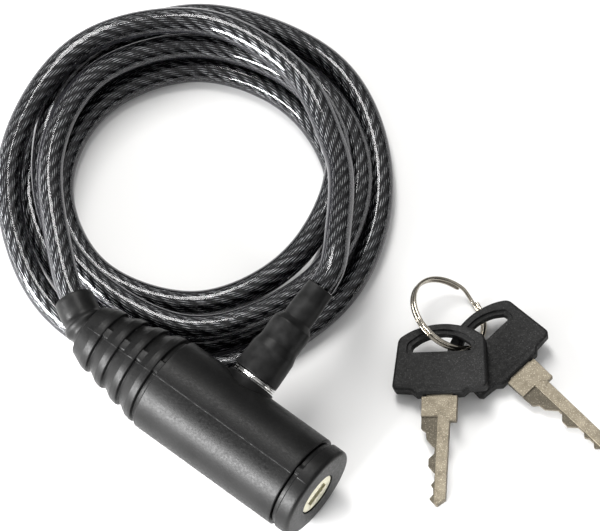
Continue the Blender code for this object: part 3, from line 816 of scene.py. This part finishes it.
def cover_relief(along, radius, angle):
    """Seam on the outer side, and webs across the rib grooves."""
    if along < 0.6 or radius < RIB_FIRST_R - 2.0 or (along > SHOULDER and radius < BODY_R - 0.8):
        return 0.0
    rise = seam_rise(along, angle)
    place = (along - RIB_FIRST) / RIB_PITCH
    rib = min(max(int(math.floor(place + 0.01)), 0), RIBS - 1)
    beyond = along - RIB_FIRST - RIB_PITCH * rib
    full = RIB_FIRST_R + RIB_TAPER * rib - 0.35
    if 0.1 < beyond < RIB_PITCH - RIB_WIDTH + 0.1 and radius < full:
        rise += (full - radius) * web_share(angle)
    return rise


def cover_outline():
    """Closed section of the cover: outer side over the ribs, then the bore."""
    points = [(COVER_END, BORE_R, 0), (COVER_END, BODY_R, 0.4)]
    for i in range(1, COVER_STEPS):
        points.append((COVER_END + (SHOULDER - COVER_END) * i / COVER_STEPS, BODY_R, 0))
    points += [(SHOULDER, BODY_R, 0.35), (SHOULDER - 0.35, BODY_R - 1.25, 0.3)]
    for rib in reversed(range(RIBS)):
        front = RIB_FIRST + RIB_PITCH * rib
        radius = RIB_FIRST_R + RIB_TAPER * rib
        back = front - (RIB_WIDTH if rib else RIB_WIDTH + 0.8)
        points += [(front + 0.35, radius - 1.2, 0.25), (front, radius - 0.05, 0.35),
                   (front - 0.9, radius - 0.02, 0.4), (front - 2.4, radius - 0.35, 0.8),
                   (back, radius - 1.7, 0.5)]
    points += [(0.0, RIB_FIRST_R - 2.3, 0.5), (0.0, 7.6, 0.3), (20.0, 7.6, 0), (22.4, BORE_R, 0)]
    return rounded(points, 5)


def make_cover(plastic):
    """Ribbed cover with the hole for the socket's collar."""
    mesh = turned_mesh("body_cover_shell", cover_outline(), LOCK, angles=seam_angles(),
                       shape=cover_relief)
    cover = add_object("body_cover_shell", mesh, plastic, "lock", "cover_plastic", "body_cover")
    points = ((9.0, 0.0, 0), (20.0, 0.0, 0), (20.0, COLLAR_R + GAP, 0), (9.0, COLLAR_R + GAP, 0))
    cut_with(cover, turned_mesh("socket_hole", rounded(points, 1), SOCKET, 64))


def cap_relief(along, radius, angle):
    """Seam, and the tab that bridges the groove behind the cap."""
    if radius < 13.4 or along > BODY_LENGTH - 1.2:
        return 0.0
    rise = seam_rise(along, angle)
    if along < COVER_END + 2.0 and radius < CAP_TAB_R:
        rise += (CAP_TAB_R - radius) * web_share(angle, CAP_TAB_TO)
    return rise


def make_end_cap(plastic):
    """Cap at the key end, open in the middle for the key plug."""
    face, rim = BODY_LENGTH, BODY_R - 0.2
    points = ((face, PLUG_R + GAP, 0.15), (face, rim, 1.5), (84.0, rim, 0),
              (COVER_END + 1.9, rim, 0.3), (COVER_END + 1.5, rim - 0.9, 0.2),
              (COVER_END + GAP, rim - 0.9, 0.1), (COVER_END + GAP, 12.45, 0), (77.8, 12.45, 0),
              (77.8, 9.8, 0), (85.3, 9.8, 0), (85.3, PLUG_R + GAP, 0))
    mesh = turned_mesh("end_cap_shell", rounded(points, 6), LOCK, angles=seam_angles(),
                       shape=cap_relief)
    add_object("end_cap_shell", mesh, plastic, "lock", "cover_plastic", "end_cap")


def make_collar(plastic):
    """Short collar that the cable's plug goes into."""
    low = BORE_R + 0.1
    points = ((COLLAR_TOP, 4.8, 0.2), (COLLAR_TOP, COLLAR_R, 0.7), (low, COLLAR_R, 0), (low, 4.8, 0))
    mesh = turned_mesh("socket_collar_ring", rounded(points, 6), SOCKET, 72)
    add_object("socket_collar_ring", mesh, plastic, "lock", "cover_plastic", "socket_collar")


# ---- strain relief -----------------------------------------------------------------------

SLEEVE_BORE_R = 4.5
SLEEVE_SIDES = 64
SLEEVE_STEP = 0.35             # from one ring of the sleeve's skin to the next
SLEEVE_BAND = (                # share of the sleeve's length, radius
    (0.0, 6.1), (0.28, 6.1), (0.33, 6.3), (0.36, 7.0), (0.40, 7.1), (0.44, 6.5), (0.47, 6.2),
    (0.50, 6.6), (0.53, 7.05), (0.57, 6.9), (0.61, 6.25), (0.65, 6.05), (0.72, 6.15), (0.93, 6.2),
    (0.985, 6.1), (1.0, 5.6),
)


def make_strain_relief(plastic):
    """Bent sleeve with two soft rings on its neck and a wide smooth end."""
    line = even_line(spline_points(tail_points(), 12), SLEEVE_STEP * MM)
    share = np.linspace(0.0, 1.0, len(line))
    radii = np.interp(share, *zip(*SLEEVE_BAND))
    outer = tube_rings(line, radii * MM, SLEEVE_SIDES)
    inner = tube_rings(line, SLEEVE_BORE_R * MM, SLEEVE_SIDES)[::-1]
    mesh = grid_mesh("strain_relief_sleeve", np.concatenate([outer, inner]), cyclic=True)
    add_object("strain_relief_sleeve", mesh, plastic, "lock", "boot_plastic", "strain_relief")


# ---- cable plug --------------------------------------------------------------------------

BOOT_SIDE = (                  # distance from the boot's bottom, radius, rounding
    (33.0, 4.35, 0.25), (24.2, 4.8, 2.0), (21.0, 4.75, 0.9), (18.9, 6.4, 0.9), (16.0, 6.6, 1.0),
    (11.8, 6.45, 1.5), (9.0, 7.2, 1.6), (2.0, 7.45, 1.0), (0.0, 7.45, 0.3),
)


def make_boot(satin):
    """Waisted boot on the cable's plug."""
    low, high = BOOT_BOTTOM, BOOT_BOTTOM + BOOT_LENGTH
    points = [(high, 4.05, 0.1)]
    points += [(low + along, radius, edge) for along, radius, edge in BOOT_SIDE]
    points += [(low, 3.9, 0), (40.3, 3.9, 0), (40.3, 3.4, 0), (high - 6.0, 3.4, 0),
               (high - 5.5, 4.05, 0)]
    mesh = turned_mesh("plug_boot_skin", rounded(points, 8), SOCKET)
    add_object("plug_boot_skin", mesh, satin, "cable_plug", "boot_plastic", "plug_boot")


def make_ring_band(chrome):
    """Thin grooved band between the boot and the collar."""
    points = ((17.5, 3.2, 0), (17.5, 7.3, 0.2), (17.25, 7.55, 0.2), (17.0, 7.4, 0.1),
              (16.95, 6.6, 0), (16.65, 6.6, 0), (16.6, 7.4, 0.1), (16.45, 7.5, 0.15),
              (16.3, 7.2, 0.1), (16.3, 3.2, 0))
    mesh = turned_mesh("plug_ring_band", rounded(points, 4), SOCKET)
    add_object("plug_ring_band", mesh, chrome, "cable_plug", "chrome", "plug_ring")


def make_bolt(steel):
    """Plug's bolt, with the neck that the latch holds."""
    points = ((25.0, 0.0, 0), (25.0, 2.9, 0), (16.0, 2.9, 0), (16.0, 4.5, 0.2), (5.5, 4.5, 0.25),
              (5.0, 2.6, 0.3), (2.2, 2.6, 0.3), (1.8, 4.5, 0.25), (-0.6, 4.5, 0.3), (-2.0, 3.1, 0.4),
              (-2.0, 0.0, 0))
    mesh = turned_mesh("plug_bolt_turned", rounded(points, 5), SOCKET, 72)
    add_object("plug_bolt_turned", mesh, steel, "cable_plug", "steel", "plug_bolt")


# ---- key cylinder's face -----------------------------------------------------------------

PLUG_FACE = 86.7
WAFER_AT = (66.0, 69.0, 72.0, 75.0)
WAFER_SLOT = 0.7               # half the width of a wafer's slot
WAFER_CUTS = (                 # corners of the slot that a wafer slides in, and of its ear's
    ((-8.0, -2.6), (8.0, 2.6)),
    ((-4.6, 2.0), (1.6, 4.6)),
)
FACE_WINDOW = ((85.7, -3.9, -1.9), (90.0, 3.9, 1.9))
KEYWAY = ((62.5, -3.6, -1.1), (88.0, 3.6, 1.1))


def make_key_plug(brass):
    """Turned plug with a shallow window in its face, a keyway and the wafers' slots."""
    points = ((PLUG_FACE, 0.0, 0), (PLUG_FACE, PLUG_R, 0.3), (60.4, PLUG_R, 0), (60.4, 2.6, 0.2),
              (55.9, 2.6, 0.3), (55.9, 0.0, 0))
    mesh = turned_mesh("key_plug_turned", rounded(points, 5), LOCK, 72)
    plug = add_object("key_plug_turned", mesh, brass, "key_cylinder", "brass", "key_plug")
    cut_with(plug, box_mesh(*FACE_WINDOW, LOCK))
    cut_with(plug, box_mesh(*KEYWAY, LOCK))
    for at in WAFER_AT:
        for low, high in WAFER_CUTS:
            cut_with(plug, box_mesh((at - WAFER_SLOT, *low), (at + WAFER_SLOT, *high), LOCK))


# ---- keys --------------------------------------------------------------------------------

HEAD_THICKNESS = 4.4
BLADE_THICKNESS = 2.0
HEAD_EDGE = 0.75
BORDER_WIDTH = 1.25            # sunk border round the slot
BORDER_DEPTH = 0.75
BORDER_EDGE = 0.35
BLADE_EDGE = 0.12
BACK_GROOVE_EDGE = 0.1
TANG_POCKET = ((-4.3, -20.0, -1.3), (4.3, -6.7, 1.3))
MILLED_STEP = ((-7.0, -60.0, 0.3), (-0.2, -23.8, 5.0))
BACK_GROOVE = ((0.9, -49.5, -5.0), (1.9, -26.4, -0.55))
STEP_FLOOR = (0.05, 0.6)       # heights that the milled step's floor lies between
STEP_FACE_AREA = 3.0           # square millimetres; smaller faces are its rounded edges
BLADE_CUTS = (                 # cut edge of the blade, from the shoulder to the tip
    (-5.5, -17.3), (-5.3, -27.7), (-3.8, -28.8), (-3.5, -31.2), (-0.9, -34.2), (-0.9, -35.9),
    (-2.6, -37.6), (-2.6, -40.0), (-0.5, -42.4), (-0.5, -44.9), (-1.6, -46.1), (-0.8, -47.2),
    (-0.7, -49.2), (-1.9, -50.6), (0.4, -53.0),
)


def head_outline():
    """Domed head with soft shoulders and a stepped foot."""
    dome = arc((0, -16.4), 22.4, 118, 62, 24)
    right = [(13.3, 1.6, 3.2), (14.6, -14.2, 1.6), (13.7, -15.2, 0.8), (8.8, -15.6, 0.8),
             (7.2, -17.0, 0.6)]
    left = [(-x, y, edge) for x, y, edge in reversed(right)]
    side = right + left
    return rounded([(*point, 0) for point in dome] + side, 8)


def slot_outline(wider=0.0):
    """Arched slot with round ends."""
    top = arc((0, -10.6), 13.4 + wider, 122, 58, 20)
    end, base = 9.3 + wider, -3.0 - wider
    points = top + [(end, -0.9 + wider / 2), (end, base), (-end, base), (-end, -0.9 + wider / 2)]
    return fillet(points, [0] * len(top) + [2.0, 1.2 + wider, 1.2 + wider, 2.0], 8)


def paint_step_shade(blade, matrix, material):
    """Gives the floor of the milled step a darker copy of the nickel: painted shade in that recess."""
    blade.data.materials.append(material)
    inverse = matrix.inverted()
    low, high = STEP_FLOOR
    for face in blade.data.polygons:
        height = (inverse @ face.center).z
        if low * MM < height < high * MM and face.area > STEP_FACE_AREA * MM * MM:
            face.material_index = 1


def make_grip(name, matrix, plastic):
    """Moulded head with a sunk slot border, hollow where the blade's tang sits."""
    half = HEAD_THICKNESS / 2
    mesh = plate_mesh(f"{name}_grip", head_outline(), -half, half, matrix, HEAD_EDGE,
                      (slot_outline(),))
    grip = add_object(f"{name}_grip", mesh, plastic, name, "key_plastic", f"{name}_head")
    beyond = half + 2.0
    for low, high in ((half - BORDER_DEPTH, beyond), (-beyond, BORDER_DEPTH - half)):
        cut_with(grip, plate_mesh("border", slot_outline(BORDER_WIDTH), low, high, matrix,
                                  BORDER_EDGE))
    cut_with(grip, box_mesh(*TANG_POCKET, matrix))


def make_blade(name, matrix, nickel, groove):
    """Cut blade with a milled step along its cut side and a groove on its back."""
    outline = [(-4.0, -17.3), *BLADE_CUTS, (3.2, -51.0), (3.4, -25.6), (5.5, -25.6),
               (5.5, -17.3), (4.0, -17.3), (4.0, -7.0), (-4.0, -7.0)]
    edges = [0, 0.3] + [0.35] * (len(BLADE_CUTS) - 1) + [0.8, 0.4, 0.4, 0.3, 0, 0, 0]
    half = BLADE_THICKNESS / 2
    mesh = plate_mesh(f"{name}_cut_blade", fillet(outline, edges, 3), -half, half, matrix,
                      BLADE_EDGE, steps=1)
    blade = add_object(f"{name}_cut_blade", mesh, nickel, name, "key_nickel", f"{name}_blade")
    cut_with(blade, box_mesh(*MILLED_STEP, matrix, BLADE_EDGE))
    cut_with(blade, box_mesh(*BACK_GROOVE, matrix, BACK_GROOVE_EDGE))
    # painted shade on the milled step's floor
    paint_step_shade(blade, matrix, groove)


# ---- split ring --------------------------------------------------------------------------

RING_R = 12.5
RING_WIRE_R = 0.6
RING_LAYER = 0.65
RING_START = 66                # degrees where the wire's lower end lies
RING_STEP = 30                 # degrees that the climb takes, and the gap between the ends
RING_ENDS = (0.55, 0.9)        # share of the wire's radius that its last two rings keep


def make_split_ring(steel):
    """Two flat turns of wire on each other, with one short climb between them."""
    tilt = Matrix.Rotation(math.radians(RING_TILT), 4, "Y")
    tilt = tilt @ Matrix.Rotation(math.radians(RING_LEAN), 4, "X")
    matrix = Matrix.Translation(mm(*RING_CENTRE)) @ tilt
    line = []
    for turn in np.arange(0.0, 720.0 - RING_STEP + 0.1, 2.5):
        height = RING_LAYER * (2 * smoothstep(360 - RING_STEP, 360, turn) - 1)
        angle = math.radians(RING_START + turn)
        line.append(tuple(matrix @ mm(RING_R * math.cos(angle), RING_R * math.sin(angle), height)))
    line = np.array(line)
    radii = np.full(len(line), RING_WIRE_R * MM)
    for k, share in enumerate(RING_ENDS):
        radii[[k, -1 - k]] *= share
    mesh = grid_mesh("split_ring_wire", tube_rings(line, radii, 16))
    add_object("split_ring_wire", mesh, steel, "key_ring", "steel", "split_ring")


# ---- what stays hidden inside the lock ---------------------------------------------------

def dress_inner_pieces():
    """Gives the inner CAD pieces, seen only when the plug is out, their metals."""
    zinc = metal("die_cast_zinc", (0.55, 0.55, 0.53), 0.5, 500.0)
    steel = metal("stamped_steel", (0.5, 0.5, 0.5), 0.35, 1200.0)
    brass = metal("pale_brass", (0.72, 0.66, 0.45), 0.36, 1200.0)
    spring = metal("spring_steel", (0.4, 0.4, 0.41), 0.28, 1500.0)
    kinds = {"zinc": zinc, "steel": steel, "brass": brass}
    for part in frame["record"]["subparts"]:
        obj = frame["nodes"][part["node"]]
        if obj.hide_render:
            continue
        material = spring if "spring" in part["node"] else kinds.get(part["material_slot"], steel)
        obj.data.materials.clear()
        obj.data.materials.append(material)


# ---- everything --------------------------------------------------------------------------

def main():
    make_camera()
    make_floor()
    make_sky()
    make_lights()
    line, jacket, rope = make_cable()
    # grained plastics; the last number, or its default, is the grey of the grain's painted glints
    body_plastic = grained_plastic("grained_black", 0.003, 0.008, 0.37, 0.33, 0.5)
    key_plastic = grained_plastic("key_grip_black", 0.005, 0.011, 0.52, 0.4, 0.7, 0.2)
    satin = satin_boot()
    make_cover(body_plastic)
    make_end_cap(body_plastic)
    make_collar(satin)
    make_strain_relief(satin)
    make_key_plug(metal("nickel_brass", (0.8, 0.77, 0.6), 0.38, 1400.0))
    make_boot(satin)
    make_ring_band(metal("bright_chrome", (0.85, 0.84, 0.82), 0.07, 500.0, depth=0.03, spread=0.03))
    make_bolt(metal("turned_steel", (0.6, 0.6, 0.6), 0.22, 900.0))
    nickel = blade_nickel()
    # darker copy of the nickel: painted shade on the milled step's floor
    groove = blade_nickel("step_floor_painted_shade", 0.4)
    for name, *pose in KEYS:
        matrix = key_matrix(*pose)
        make_grip(name, matrix, key_plastic)
        make_blade(name, matrix, nickel, groove)
    make_split_ring(metal("ring_nickel", (0.5, 0.46, 0.39), 0.14, 700.0, depth=0.03, spread=0.04))
    dress_inner_pieces()


main()
